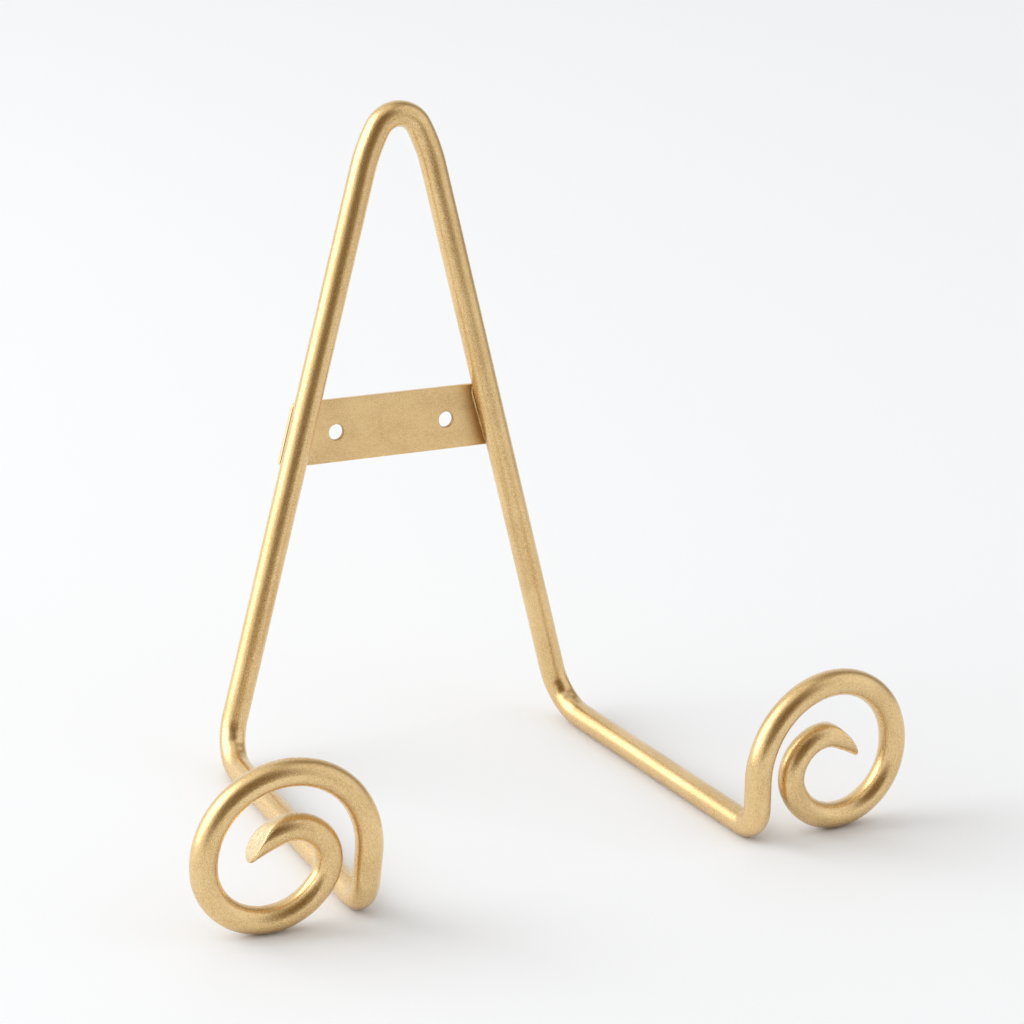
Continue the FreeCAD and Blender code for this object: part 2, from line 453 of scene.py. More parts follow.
@dataclass
class BentRod:
    """The round rod, bent into the back, the rails and the scrolls in one length.

    Rates of unevenness are waves per metre of rod.
    """

    plan: StandPlan
    around: int = 72
    tip_run: float = 23.0 * MM
    faces: tuple[TipFace, TipFace] = (
        TipFace(Side.RIGHT, 34.7 * MM, 22.35 * MM, 68.1, nose_rounding=0.9 * MM),
        TipFace(Side.LEFT, 36.1 * MM, 22.2 * MM, 71.0, nose_rounding=3.2 * MM),
    )
    wander: float = 0.10 * MM
    wander_rate: float = 14.0
    unevenness: float = 0.025 * MM
    uneven_rate: float = 90.0
    uneven_around: float = 1.7
    heel_wrinkle: float = 0.10 * MM
    heel_ripples: float = 24.0
    toe_crease: float = 0.16 * MM
    crease_place: float = 0.45
    crease_width: float = 0.12
    # Painted shade where the legs meet the strap: its height, half length, depth and reach towards the
    # front.
    stain_height: float = 98.0 * MM
    stain_half: float = 11.0 * MM
    stain_depth: float = 0.85
    stain_front: float = 0.35

    def walk(self) -> list[Station]:
        """Walk the right half of the rod.

        Returns:
            Its stations, from the top of the apex to past the slanting end.
        """
        plan = self.plan
        curve_end = math.radians(90.0 - plan.slant)
        curve_start = curve_end - math.radians(plan.shoulder_turn)
        across = plan.apex_radius * math.sin(curve_start)
        across += plan.shoulder_radius * (math.sin(curve_end) - math.sin(curve_start))
        drop = plan.apex_radius * (1.0 - math.cos(curve_start))
        drop += plan.shoulder_radius * (math.cos(curve_start) - math.cos(curve_end))
        slant = math.radians(plan.slant)
        leg_run = (plan.half_heels - across) / math.sin(slant)
        top = plan.back_place @ Vector((0.0, leg_run * math.cos(slant) + drop, 0.0))

        facing_back = plan.back_turn @ Vector((0.0, 0.0, -1.0))
        heading = Vector((1.0, 0.0, 0.0))
        walk = RodWalk(top, heading, facing_back, heading.cross(facing_back))
        walk.note(Stretch.APEX, 0.0, plan.back_turn @ Vector((0.0, -1.0, 0.0)))
        walk.bend(facing_back, plan.apex_radius, math.degrees(curve_start), Stretch.APEX)
        walk.bend(facing_back, plan.shoulder_radius, plan.shoulder_turn, Stretch.SHOULDER)

        down, forward = plan.leg_down, plan.rail_forward
        stem = plan.scroll_way(plan.stem_tilt)
        heel_turn = math.degrees(plan.heel_angle)
        heel_cut = setback(plan.heel_radius, heel_turn)
        toe_cut = setback(plan.toe_radius, plan.toe_turn)
        rail_run = math.hypot(plan.depth, plan.half_toes - plan.half_heels)
        walk.straight(leg_run - heel_cut, Stretch.LEG)
        walk.bend(down.cross(forward).normalized(), plan.heel_radius, heel_turn, Stretch.HEEL)
        walk.straight(rail_run - heel_cut - toe_cut, Stretch.RAIL)
        walk.bend(forward.cross(stem).normalized(), plan.toe_radius, plan.toe_turn, Stretch.TOE)
        walk.straight(self.stem_length() - toe_cut, Stretch.STEM)
        axis = UP.cross(plan.outward)
        before = plan.stem_tilt
        for radius, end in plan.scroll_arcs:
            walk.bend(axis, radius, end - before, Stretch.SCROLL)
            before = end
        return walk.stations

    def stem_length(self) -> float:
        """Find the stem that sets the scroll on the floor.

        Returns:
            The stem's length from the toe's corner.
        """
        rise = 0.0
        before = self.plan.stem_tilt
        for radius, end in self.plan.scroll_arcs:
            stop = min(end, self.plan.lowest_heading)
            if stop > before:
                rise += radius * (math.sin(math.radians(stop)) - math.sin(math.radians(before)))
                before = stop
        return -rise / math.cos(math.radians(self.plan.stem_tilt))

    def surface(self, station: Station, angle: float, signed: float) -> Vector:
        """A point of the rod's skin, with the small unevenness of hand-bent bar.

        Args:
            station: Where along the rod.
            angle: Where around it, in radians.
            signed: Distance from the apex, minus on the left half.

        Returns:
            The point, on the right half.
        """
        out = station.rim(angle)
        turned = self.uneven_around
        here = Vector((signed * self.uneven_rate, out.x * turned, out.y * turned + out.z))
        radius = self.plan.rod_radius + self.unevenness * noise.noise(here)
        inner = max(0.0, out.dot(station.inward))
        if station.stretch is Stretch.HEEL:
            window = math.sin(math.pi * station.share) ** 2
            ripple = math.sin(station.share * self.heel_ripples) * window * inner ** 3
            radius += self.heel_wrinkle * ripple
        if station.stretch is Stretch.TOE:
            window = math.exp(-((station.share - self.crease_place) / self.crease_width) ** 2)
            radius += self.toe_crease * window * inner ** 4
        # The sway in x and in y follows two lines of noise that are far from each other.
        along = signed * self.wander_rate
        sway = Vector((noise.noise(Vector((along, 3.1, 0.0))),
                       noise.noise(Vector((along, 0.0, 7.7))), 0.0))
        return station.point + sway * self.wander * self.free(station) + out * radius

    @staticmethod
    def free(station: Station) -> float:
        """How far the middle line may wander: only along the legs and the rails."""
        straight = station.stretch in (Stretch.LEG, Stretch.RAIL)
        return math.sin(math.pi * station.share) if straight else 0.0

    def build(self, finish: "GoldPaint") -> bpy.types.Object:
        """Make the rod in one closed skin, from the left tip over the apex to the right.

        Args:
            finish: The paint it wears.

        Returns:
            The finished piece.
        """
        stations = self.walk()
        last_full = stations[-1].distance - self.tip_run
        body = [s for s in stations if s.distance <= last_full]
        end = [s for s in stations if s.distance >= last_full]
        skin = Skin()
        angles = [2.0 * math.pi * k / self.around for k in range(self.around)]
        rings = [self.add_ring(skin, s, angles, Side.LEFT) for s in reversed(body[1:])]
        rings += [self.add_ring(skin, s, angles, Side.RIGHT) for s in body]
        for first, second in zip(rings, rings[1:]):
            skin.bridge(first, second)
        for face in self.faces:
            start = rings[-1] if face.side is Side.RIGHT else rings[0]
            GroundTip(self, face, end).build(skin, angles, start)
        rod = skin.piece("bent_rod")
        finish.dress(rod)
        return rod

    def add_ring(self, skin: Skin, station: Station, angles: list[float],
                 side: Side) -> list[int]:
        """Add a full ring of skin.

        Args:
            skin: The skin being made.
            station: Where along the rod.
            angles: The angles of the vertices around the rod.
            side: Which half this is.

        Returns:
            The ring's vertices.
        """
        signed = station.distance * side.value
        points = [side.place(self.surface(station, a, signed)) for a in angles]
        grain = [self.grain(signed, a) for a in angles]
        return skin.ring(points, grain, [self.stain(station, a) for a in angles])

    def stain(self, station: Station, angle: float) -> float:
        """Painted shade on the legs' inner sides, towards the back where the strap meets them.

        Args:
            station: Where along the rod.
            angle: Where around it.

        Returns:
            The painted shade as a wear value, zero or below it.
        """
        if station.stretch is not Stretch.LEG:
            return 0.0
        height = (self.plan.back_place.inverted() @ station.point).y
        lengthwise = 1.0 - ((height - self.stain_height) / self.stain_half) ** 4
        out = self.plan.back_turn.inverted() @ station.rim(angle)
        behind = min(1.0, max(0.0, (self.stain_front - out.z) / self.stain_front))
        inside = min(1.0, max(0.0, -out.x * 2.0))
        return -self.stain_depth * max(0.0, lengthwise) * behind * inside

    def grain(self, signed: float, angle: float) -> Vector:
        """Where a point lies in the space of the rod's grain, as if it were unbent."""
        radius = self.plan.rod_radius
        return Vector((signed, radius * math.cos(angle), radius * math.sin(angle)))

    @staticmethod
    def nodes() -> list[str]:
        """The frame's nodes that the rod stands for."""
        lengths = ("leg", "heel_bend", "rail", "toe_bend", "scroll")
        return ["apex_bend"] + [f"{side.word}_{name}" for side in Side for name in lengths]


@dataclass
class GroundTip:
    """One end of the rod, which leans over into its ground face across a rounded rim.

    Its stations run from the last full ring to past the face. A place along the rod is a
    distance from the apex, an angle goes round it, and points are on the right half.
    """

    rod: BentRod
    face: TipFace
    end: list[Station]
    lean_rows: int = 30
    rim_rows: int = 8
    face_rows: int = 14
    meet_halvings: int = 22
    rim_rounding: float = 0.3 * MM
    start_rounding: float = 2.4 * MM
    wear_from: float = 0.94
    wear_growth: float = 8.0
    rim_wear: float = 0.6
    face_wear: float = 0.9
    face_roughness: float = 0.06 * MM
    face_rate: float = 1400.0
    innermost: float = 0.97

    def build(self, skin: Skin, angles: list[float], start: list[int]) -> None:
        """Add rings that lean over into the face, the rim and the face.

        Args:
            skin: The skin being made.
            angles: The angles of the vertices.
            start: The last full ring's vertices.
        """
        side = self.face.side
        first = self.end[0].distance
        meets = [self.meet(angle) for angle in angles]
        low, nose = min(meets), max(meets)
        sizes = [self.rounding((meet - low) / (nose - low)) for meet in meets]
        previous = start
        for row in range(1, self.lean_rows + 1):
            share = row / self.lean_rows
            places = [first + (meet - size - first) * share for meet, size in zip(meets, sizes)]
            points = [side.place(self.track(*spot)) for spot in zip(places, angles)]
            grain = [self.rod.grain(p * side.value, a) for p, a in zip(places, angles)]
            wear = max(0.0, share - self.wear_from) * self.wear_growth
            previous = skin.grow(previous, points, grain, wear)

        corners = [self.track(*spot) for spot in zip(meets, angles)]
        middle = sum(corners, NOWHERE) / len(corners)
        rims = [self.rim_curve(*line, middle) for line in zip(angles, meets, sizes)]
        grain = [self.rod.grain(m * side.value, a) for m, a in zip(meets, angles)]
        for row in range(self.rim_rows):
            points = [side.place(rim[row]) for rim in rims]
            previous = skin.grow(previous, points, grain, self.rim_wear)

        for row in range(1, self.face_rows + 1):
            share = row / self.face_rows
            rough = min(1.0, share * 4.0)
            spots = [self.on_face(rim[-1].lerp(middle, share * self.innermost), rough)
                     for rim in rims]
            points = [side.place(spot) for spot in spots]
            previous = skin.grow(previous, points, spots, self.face_wear)
        last = self.on_face(middle, 1.0)
        skin.cap(previous, side.place(last), last)

    def rim_curve(self, angle: float, meet: float, size: float, middle: Vector) -> list[Vector]:
        """One line over the rim, running smoothly out of the skin into the face.

        Args:
            angle: Its angle.
            meet: Where this line of the skin meets the face.
            size: How far the rounding reaches on either side of the meeting.
            middle: The face's middle.

        Returns:
            The points, without the one on the skin.
        """
        little = 0.1 * MM
        pull = size * 2 / 3
        first = self.track(meet - size, angle)
        nearer = self.track(meet - size - little, angle)
        corner = self.track(meet, angle)
        inward = (middle - corner).normalized()
        last = self.on_face(corner + inward * size, 0.0)
        further = self.on_face(corner + inward * (size + little), 0.0)
        leave = first + (first - nearer).normalized() * pull
        arrive = last + (last - further).normalized() * pull
        return bent_line([first, leave, arrive, last], self.rim_rows)

    def rounding(self, share: float) -> float:
        """How far the rim's rounding reaches, more at the nose and where the face begins."""
        more = (self.face.nose_rounding - self.rim_rounding) * share ** 4
        return self.rim_rounding + more + self.start_rounding * (1.0 - share) ** 3

    def meet(self, angle: float) -> float:
        """Find where a lengthwise line of the skin meets the face.

        Args:
            angle: The line's angle.

        Returns:
            The meeting's place along the rod.
        """
        low, high = self.end[0].distance, self.end[-1].distance
        for _ in range(self.meet_halvings):
            middle = (low + high) / 2
            if self.face.depth_inside(self.rod.plan, self.track(middle, angle)) > 0.0:
                low = middle
            else:
                high = middle
        return (low + high) / 2

    def on_face(self, point: Vector, rough_share: float) -> Vector:
        """Move a point near the face onto it, with the grinder's roughness.

        Args:
            point: The point.
            rough_share: How much of the roughness there is here.

        Returns:
            The point on the face.
        """
        plan = self.rod.plan
        facing = plan.scroll_way(self.face.slope - self.face.chord_turn)
        marks = noise.fractal(point * self.face_rate, 1.0, 2.0, 3)
        rough = marks * self.face_roughness * rough_share
        return point + facing * (self.face.depth_inside(plan, point) + rough)

    def track(self, position: float, angle: float) -> Vector:
        """A point of the full skin between stations.

        Args:
            position: Its place along the rod.
            angle: Its angle.

        Returns:
            The point.
        """
        end = self.end
        index = bisect_right(end, position, key=lambda station: station.distance) - 1
        index = min(max(index, 0), len(end) - 2)
        low, high = end[index], end[index + 1]
        share = (position - low.distance) / (high.distance - low.distance)
        way = self.face.side.value
        first = self.rod.surface(low, angle, low.distance * way)
        return first.lerp(self.rod.surface(high, angle, high.distance * way), share)


# ---- the strap and its brazing ----


@dataclass
class BackStrap:
    """Flat bar across the back of both legs, with two screw holes."""

    plan: StandPlan
    width: float = 20.0 * MM
    thickness: float = 1.5 * MM
    height: float = 98.0 * MM
    overhang: float = 2.8 * MM
    corner_radius: float = 2.0 * MM
    corner_steps: int = 10
    hole_radius: float = 2.5 * MM
    hole_spacing: float = 38.0 * MM
    hole_drop: float = 0.5 * MM
    hole_points: int = 64
    edge_rounding: float = 0.25 * MM
    edge_steps: int = 3
    edge_wear: float = 0.5
    # Painted shade on the holes' walls.
    hole_stain: float = -0.9

    @property
    def holes(self) -> list[Vector]:
        """The holes' middles, in the back's plane."""
        across = self.hole_spacing / 2
        return [Vector((way * across, self.height - self.hole_drop)) for way in (-1.0, 1.0)]

    def half_width(self, height: float, past_axis: float) -> float:
        """Half the back's width at a height, to a line beside the leg's axis."""
        slant = math.radians(self.plan.slant)
        return self.plan.half_heels - height * math.tan(slant) + past_axis / math.cos(slant)

    def build(self, finish: "GoldPaint") -> bpy.types.Object:
        """Make the strap with eased edges.

        Args:
            finish: The paint it wears.

        Returns:
            The finished piece.
        """
        mesh = self.flat_mesh()
        smooth_outwards(mesh, weld=0.002 * MM)
        spots = [vertex.co.copy() for vertex in mesh.vertices]
        note_grain(mesh, spots, [self.wear(spot) for spot in spots])
        middle = -(self.plan.rod_radius + self.thickness / 2)
        mesh.transform(self.plan.back_place @ Matrix.Translation((0.0, 0.0, middle)))
        strap = add_to_scene("flat_strap", mesh)
        flatten = strap.modifiers.new("flat_faces", "WEIGHTED_NORMAL")
        flatten.keep_sharp = True
        apply_modifiers(strap)
        finish.dress(strap)
        return strap

    def flat_mesh(self) -> bpy.types.Mesh:
        """Fill the strap's outline and thicken it.

        Returns:
            The mesh, its faces' edges rounded, centred on the back's plane.
        """
        curve = bpy.data.curves.new("strap_outline", "CURVE")
        curve.dimensions = "2D"
        curve.fill_mode = "BOTH"
        curve.bevel_depth = self.edge_rounding
        curve.bevel_resolution = self.edge_steps
        curve.offset = -self.edge_rounding
        curve.extrude = self.thickness / 2 - self.edge_rounding
        holes = [circle(hole, self.hole_radius, self.hole_points) for hole in self.holes]
        for points in (self.outline(), *holes):
            spline = curve.splines.new("POLY")
            spline.points.add(len(points) - 1)
            for target, point in zip(spline.points, points):
                target.co = (point.x, point.y, 0.0, 1.0)
            spline.use_cyclic_u = True
        shape = add_to_scene("strap_outline", curve)
        bpy.context.view_layer.update()
        mesh = bpy.data.meshes.new_from_object(shape)
        mesh.name = "back_strap"
        bpy.data.objects.remove(shape)
        bpy.data.curves.remove(curve)
        return mesh

    def outline(self) -> list[Vector]:
        """Draw the strap's outline in the back's plane.

        Returns:
            Its points, with round corners.
        """
        low = self.height - self.width / 2
        high = self.height + self.width / 2
        low_half = self.half_width(low, self.overhang)
        high_half = self.half_width(high, self.overhang)
        corners = [Vector((-low_half, low)), Vector((low_half, low)),
                   Vector((high_half, high)), Vector((-high_half, high))]
        points: list[Vector] = []
        for index, corner in enumerate(corners):
            before = (corners[index - 1] - corner).normalized()
            after = (corners[(index + 1) % 4] - corner).normalized()
            half = before.angle(after) / 2
            centre = corner + (before + after).normalized() * self.corner_radius / math.sin(half)
            first = corner + before * self.corner_radius / math.tan(half) - centre
            last = corner + after * self.corner_radius / math.tan(half) - centre
            turn = -first.angle_signed(last) / self.corner_steps
            for step in range(self.corner_steps + 1):
                points.append(centre + Matrix.Rotation(turn * step, 2) @ first)
        return points

    def wear(self, point: Vector) -> float:
        """Wear and painted shade of the strap: its edge is rubbed outside, and painted shade darkens the
        holes' walls.

        Args:
            point: A point of the strap before it is placed.

        Returns:
            The value, zero on the flat faces and below zero for the painted shade.
        """
        if abs(point.z) >= self.thickness / 2 - 0.02 * MM:
            return 0.0
        near = self.hole_radius + 0.5 * MM
        in_hole = any((point.xy - hole).length < near for hole in self.holes)
        return self.hole_stain if in_hole else self.edge_wear


@dataclass
class BrazeBead:
    """A bead in the corner between a leg and the strap, with a raised crest on an inner one."""

    plan: StandPlan
    strap: BackStrap
    side: Side
    inner: bool
    rows: int = 60
    steps: int = 8
    start: float = 0.9 * MM
    inner_reach: float = 3.45 * MM
    outer_reach: float = 2.4 * MM
    inner_widening: float = 0.45 * MM
    end_narrowing: float = 0.25
    end_gap: float = 0.05 * MM
    waviness: float = 0.12 * MM
    waves: float = 9.0
    inner_climb: float = -1.0 * MM
    outer_climb: float = 0.3 * MM
    into_rod: float = 0.03 * MM
    into_strap: float = 0.02 * MM
    # Painted highlight: how many points along an inner bead's crest take the bare colour.
    crest_points: int = 3
    crest_height: float = 0.85 * MM
    crest_back: float = 0.5 * MM
    groove_back: float = 0.75 * MM
    groove_depth: float = 0.25 * MM
    brow_back: float = 0.05 * MM
    brow_height: float = 0.15 * MM

    @property
    def name(self) -> str:
        """The bead's name, which is its node's name too."""
        return f"{self.side.word}_{'inner' if self.inner else 'outer'}_braze"

    @property
    def way(self) -> float:
        """The bead's way from the leg: below zero for an inner one."""
        return -1.0 if self.inner else 1.0

    def build(self, finish: "GoldPaint") -> bpy.types.Object:
        """Make the bead with a slightly full, uneven face and soft ends.

        Args:
            finish: The paint it wears.

        Returns:
            The finished piece.
        """
        skin = Skin()
        half = self.strap.width / 2 / math.cos(math.radians(self.plan.slant))
        place = self.placement()
        rings = []
        for row in range(self.rows + 1):
            share = row / self.rows
            section = self.section((2.0 * share - 1.0) * (half - self.end_gap), share)
            rings.append(skin.ring([place @ p for p in section], section,
                                   self.wear(len(section))))
        skin.close(rings[0][::-1])
        for first, second in zip(rings, rings[1:]):
            skin.bridge(first, second)
        skin.close(rings[-1])
        bead = skin.piece("brazing_" + self.name.replace("_braze", ""))
        finish.dress(bead)
        return bead

    def wear(self, count: int) -> list[float]:
        """Painted highlight on a section's points: the inner beads take the bare colour along the crest."""
        near = [self.inner and abs(k - 2 * self.steps) < self.crest_points for k in range(count)]
        return [float(bright) for bright in near]

    def placement(self) -> Matrix:
        """Place the bead on its leg.

        Returns:
            The move from the leg's own axes, x outwards, y up the leg and z forwards.
        """
        slant = math.radians(self.plan.slant)
        middle = Vector((self.strap.half_width(self.strap.height, 0.0), self.strap.height, 0.0))
        turn = Matrix.Translation(middle) @ Matrix.Rotation(slant, 4, "Z")
        mirror = Matrix.Diagonal((float(self.side.value), 1.0, 1.0, 1.0))
        return mirror @ self.plan.back_place @ turn

    def section(self, along: float, share: float) -> list[Vector]:
        """The bead's outline at one place along the leg.

        Args:
            along: Distance up the leg from the strap's middle line.
            share: The same place as a share of the bead's length.

        Returns:
            Points in the leg's own axes, in order round the bead.
        """
        own_line = Vector((share * self.waves, self.way * 3.0, self.side.value * 5.0))
        wave = self.waviness * noise.noise(own_line)
        from_middle = 2.0 * share - 1.0
        ends = 1.0 - self.end_narrowing * abs(from_middle) ** 8
        wide = self.outer_reach
        if self.inner:
            wide = self.inner_reach + self.inner_widening * from_middle
        reach = self.start + (wide + wave - self.start) * ends
        climb = reach + (self.inner_climb if self.inner else self.outer_climb)
        floor = -(self.plan.rod_radius + self.into_strap)

        points = [self.on_rod(self.start + (climb - self.start) * k / self.steps, along)
                  for k in range(self.steps + 1)]
        top = points[-1]
        foot = Vector((self.way * reach, along, floor))
        if self.inner:
            crest = floor + self.crest_height
            groove = self.spot(reach - self.groove_back, along, crest - self.groove_depth)
            points += bent_line([top, groove, self.spot(reach - self.crest_back, along, crest)],
                                self.steps)
            brow = self.spot(reach - self.brow_back, along, crest + self.brow_height)
            points += bent_line([points[-1], brow, foot], self.steps)
        else:
            points += bent_line([top, (foot + top) / 2, foot], self.steps)
        points.append(self.spot(self.start, along, floor))
        return points

    def spot(self, out: float, along: float, height: float) -> Vector:
        """A point of a section, by its distance out from the leg's middle."""
        return Vector((self.way * out, along, height))

    def on_rod(self, out: float, along: float) -> Vector:
        """A point just inside the back of the rod's skin."""
        sunk = self.plan.rod_radius - self.into_rod
        return self.spot(out, along, -math.sqrt(sunk ** 2 - out ** 2))


def circle(centre: Vector, radius: float, count: int) -> list[Vector]:
    """Points evenly round a flat circle."""
    angles = [2.0 * math.pi * index / count for index in range(count)]
    return [centre + Vector((math.cos(a), math.sin(a))) * radius for a in angles]


def apply_modifiers(thing: bpy.types.Object) -> None:
    """Fix an object's modifiers into its mesh.

    Args:
        thing: The object, changed in place.
    """
    bpy.context.view_layer.update()
    graph = bpy.context.evaluated_depsgraph_get()
    mesh = bpy.data.meshes.new_from_object(thing.evaluated_get(graph), depsgraph=graph)
    thing.modifiers.clear()
    thing.data = mesh


# ---- finishes ----


@dataclass
class NodeSheet:
    """A short way to lay out and link shader nodes."""

    tree: bpy.types.NodeTree

    def add(self, kind: str, **settings: object) -> bpy.types.Node:
        """Add a node.

        Args:
            kind: The node's type name.
            settings: Its own settings; a name that starts with "in_" sets an input socket.

        Returns:
            The new node.
        """
        node = self.tree.nodes.new(kind)
        for name, value in settings.items():
            if name.startswith("in_"):
                node.inputs[name[3:].replace("_", " ")].default_value = value
            else:
                setattr(node, name, value)
        return node

    def feed(self, value: object, target: bpy.types.NodeSocket) -> None:
        """Give a socket its value.

        Args:
            value: Another socket to link, or plain numbers to set.
            target: The input socket.
        """
        if isinstance(value, bpy.types.NodeSocket):
            self.tree.links.new(value, target)
        elif isinstance(value, tuple):
            target.default_value = (*value, 1.0)
        else:
            target.default_value = value

    def math(self, operation: str, first: object, second: object) -> bpy.types.NodeSocket:
        """Work out one value from two others.

        Args:
            operation: The math node's operation.
            first: Its first value, a socket or a number.
            second: Its second value.

        Returns:
            The result's socket.
        """
        node = self.add("ShaderNodeMath", operation=operation)
        self.feed(first, node.inputs[0])
        self.feed(second, node.inputs[1])
        return node.outputs[0]

    def total(self, *values: object) -> object:
        """The sum of some values, each a socket or a number."""
        return reduce(lambda first, second: self.math("ADD", first, second), values)

    def ranged(self, value: bpy.types.NodeSocket, low_high: Span,
               to: Span) -> bpy.types.NodeSocket:
        """Map a value smoothly from one range to another.

        Args:
            value: The value's socket.
            low_high: The range it comes from.
            to: The range it goes to.

        Returns:
            The mapped value's socket.
        """
        node = self.add("ShaderNodeMapRange", interpolation_type="SMOOTHSTEP",
                        in_From_Min=low_high[0], in_From_Max=low_high[1],
                        in_To_Min=to[0], in_To_Max=to[1])
        self.feed(value, node.inputs["Value"])
        return node.outputs["Result"]

    def noise(self, space: bpy.types.NodeSocket, along: float, across: float,
              detail: float) -> bpy.types.NodeSocket:
        """Noise that is stretched along the grain.

        Args:
            space: The coordinates it is drawn in.
            along: Length of its waves along the grain.
            across: Their length across it.
            detail: How many finer waves are added.

        Returns:
            The noise's value.
        """
        scale = (1.0 / along, 1.0 / across, 1.0 / across)
        stretch = self.add("ShaderNodeMapping", vector_type="POINT", in_Scale=scale)
        self.feed(space, stretch.inputs["Vector"])
        waves = self.add("ShaderNodeTexNoise", in_Scale=1.0, in_Detail=detail)
        self.feed(stretch.outputs["Vector"], waves.inputs["Vector"])
        return waves.outputs["Fac"]

    def blend(self, share: object, first: object, second: object) -> bpy.types.NodeSocket:
        """Mix two colours.

        Args:
            share: How much of the second there is.
            first: A colour's socket, or the colour.
            second: The other one.

        Returns:
            The mixed colour's socket.
        """
        node = self.add("ShaderNodeMix", data_type="RGBA")
        for index, value in ((0, share), (6, first), (7, second)):
            self.feed(value, node.inputs[index])
        return node.outputs[2]


@dataclass(frozen=True)
class GoldPaint:
    """Satin antique-gold paint with metal flake, fine brushing, a little wear, and painted shade and
    highlights.

    A span says how far a noise takes the tone from light to deep, or the roughness up.
    """

    name: str
    slot: str
    light: Colour = (0.86, 0.625, 0.31)
    deep: Colour = (0.66, 0.44, 0.185)
    bare: Colour = (0.93, 0.76, 0.47)
    metallic: float = 0.92
    coat: float = 0.5
    coat_roughness: float = 0.35
    roughness: float = 0.25
    # Painted shade: the deep tone put into corners and creases, how far it looks for nearby surfaces, its
    # strength and the openness it fades over.
    corner_tone: Colour = (0.36, 0.20, 0.05)
    corner_reach: float = 5.0 * MM
    corner_dulling: float = 0.5
    corner_openness: Span = (0.35, 0.95)
    brush_length: float = 1.8 * MM
    brush_width: float = 0.45 * MM
    brush_tone: Span = (-0.06, 0.12)
    brush_gloss: Span = (-0.05, 0.07)
    brush_rubbing: Span = (0.4, 1.0)
    rubbed_brush: Span = (0.3, 0.6)
    brush_depth: float = 0.008 * MM
    mottle_length: float = 14.4 * MM
    mottle_width: float = 9.0 * MM
    mottle_tone: Span = (0.0, 0.5)
    mottle_gloss: Span = (-0.02, 0.03)
    grain_size: float = 0.55 * MM
    grain_tone: Span = (-0.15, 0.25)
    grain_depth: float = 0.035 * MM
    flake_size: float = 0.27 * MM
    flake_gloss: Span = (-0.04, 0.05)
    flake_depth: float = 0.014 * MM
    speckle: float = 0.6

    def material(self) -> bpy.types.Material:
        """Make the paint's material once, and then share it.

        Returns:
            The material.
        """
        known = bpy.data.materials.get(self.name)
        if known:
            return known
        material = bpy.data.materials.new(self.name)
        material.use_nodes = True
        material.diffuse_color = (*self.light, 1.0)
        material.node_tree.nodes.clear()
        sheet = NodeSheet(material.node_tree)
        shader = sheet.add("ShaderNodeBsdfPrincipled", in_Metallic=self.metallic,
                           in_Coat_Weight=self.coat, in_Coat_Roughness=self.coat_roughness)
        output = sheet.add("ShaderNodeOutputMaterial")
        sheet.feed(shader.outputs[0], output.inputs[0])

        space = sheet.add("ShaderNodeAttribute", attribute_name=ALONG_GRAIN).outputs["Vector"]
        brush = sheet.noise(space, self.brush_length, self.brush_width, detail=3.0)
        mottle = sheet.noise(space, self.mottle_length, self.mottle_width, detail=2.0)
        grain = sheet.noise(space, self.grain_size, self.grain_size, detail=2.0)
        flake = sheet.noise(space, self.flake_size, self.flake_size, detail=1.0)

        # The values that noise usually takes, and a wider and a narrower span of them.
        usual, wide, narrow = (0.3, 0.7), (0.25, 0.75), (0.35, 0.65)
        tone = sheet.total(sheet.ranged(mottle, usual, self.mottle_tone),
                           sheet.ranged(brush, usual, self.brush_tone),
                           sheet.ranged(grain, usual, self.grain_tone),
                           sheet.ranged(flake, usual, (-self.speckle, self.speckle)))
        paint = sheet.blend(tone, self.light, self.deep)
        sheet.feed(self.aged(sheet, paint, brush), shader.inputs["Base Color"])

        rough = sheet.total(sheet.ranged(brush, wide, self.brush_gloss), self.roughness,
                            sheet.ranged(flake, narrow, self.flake_gloss),
                            sheet.ranged(mottle, usual, self.mottle_gloss))
        sheet.feed(rough, shader.inputs["Roughness"])

        height = sheet.total(sheet.math("MULTIPLY", grain, self.grain_depth),
                             sheet.math("MULTIPLY", brush, self.brush_depth),
                             sheet.math("MULTIPLY", flake, self.flake_depth))
        bump = sheet.add("ShaderNodeBump", in_Strength=1.0, in_Distance=1.0)
        sheet.feed(height, bump.inputs["Height"])
        sheet.feed(bump.outputs["Normal"], shader.inputs["Normal"])
        return material

    def aged(self, sheet: NodeSheet, paint: bpy.types.NodeSocket,
             brush: bpy.types.NodeSocket) -> bpy.types.NodeSocket:
        """Paint shade into corners and into places marked below zero, and rub it bare where it is worn or
        marked for a painted highlight.

        Args:
            sheet: The material's nodes.
            paint: The paint's colour.
            brush: The brushing's noise, which breaks up the rubbed places.

        Returns:
            The aged colour.
        """
        worn = sheet.add("ShaderNodeAttribute", attribute_name=WEAR_AND_PAINTED_LIGHT).outputs["Fac"]
        # Painted shade: ambient occlusion darkens the colour towards the deep tone in corners and creases.
        corner = sheet.add("ShaderNodeAmbientOcclusion", samples=8, in_Distance=self.corner_reach)
        painted_shade_share = sheet.ranged(corner.outputs["AO"], self.corner_openness,
                              (self.corner_dulling, 0.0))
        # A wear value below zero paints shade in the same tone.
        painted_shade_share = sheet.math("MAXIMUM", painted_shade_share, sheet.math("MULTIPLY", worn, -1.0))
        colour = sheet.blend(painted_shade_share, paint, self.corner_tone)
        patchy = sheet.ranged(brush, self.rubbed_brush, self.brush_rubbing)
        # The bare colour is rubbed wear, and along the braze crests it is a painted highlight.
        return sheet.blend(sheet.math("MULTIPLY", worn, patchy), colour, self.bare)

    def dress(self, piece: bpy.types.Object) -> None:
        """Paint a piece."""
        piece.data.materials.append(self.material())


# ---- studio ----


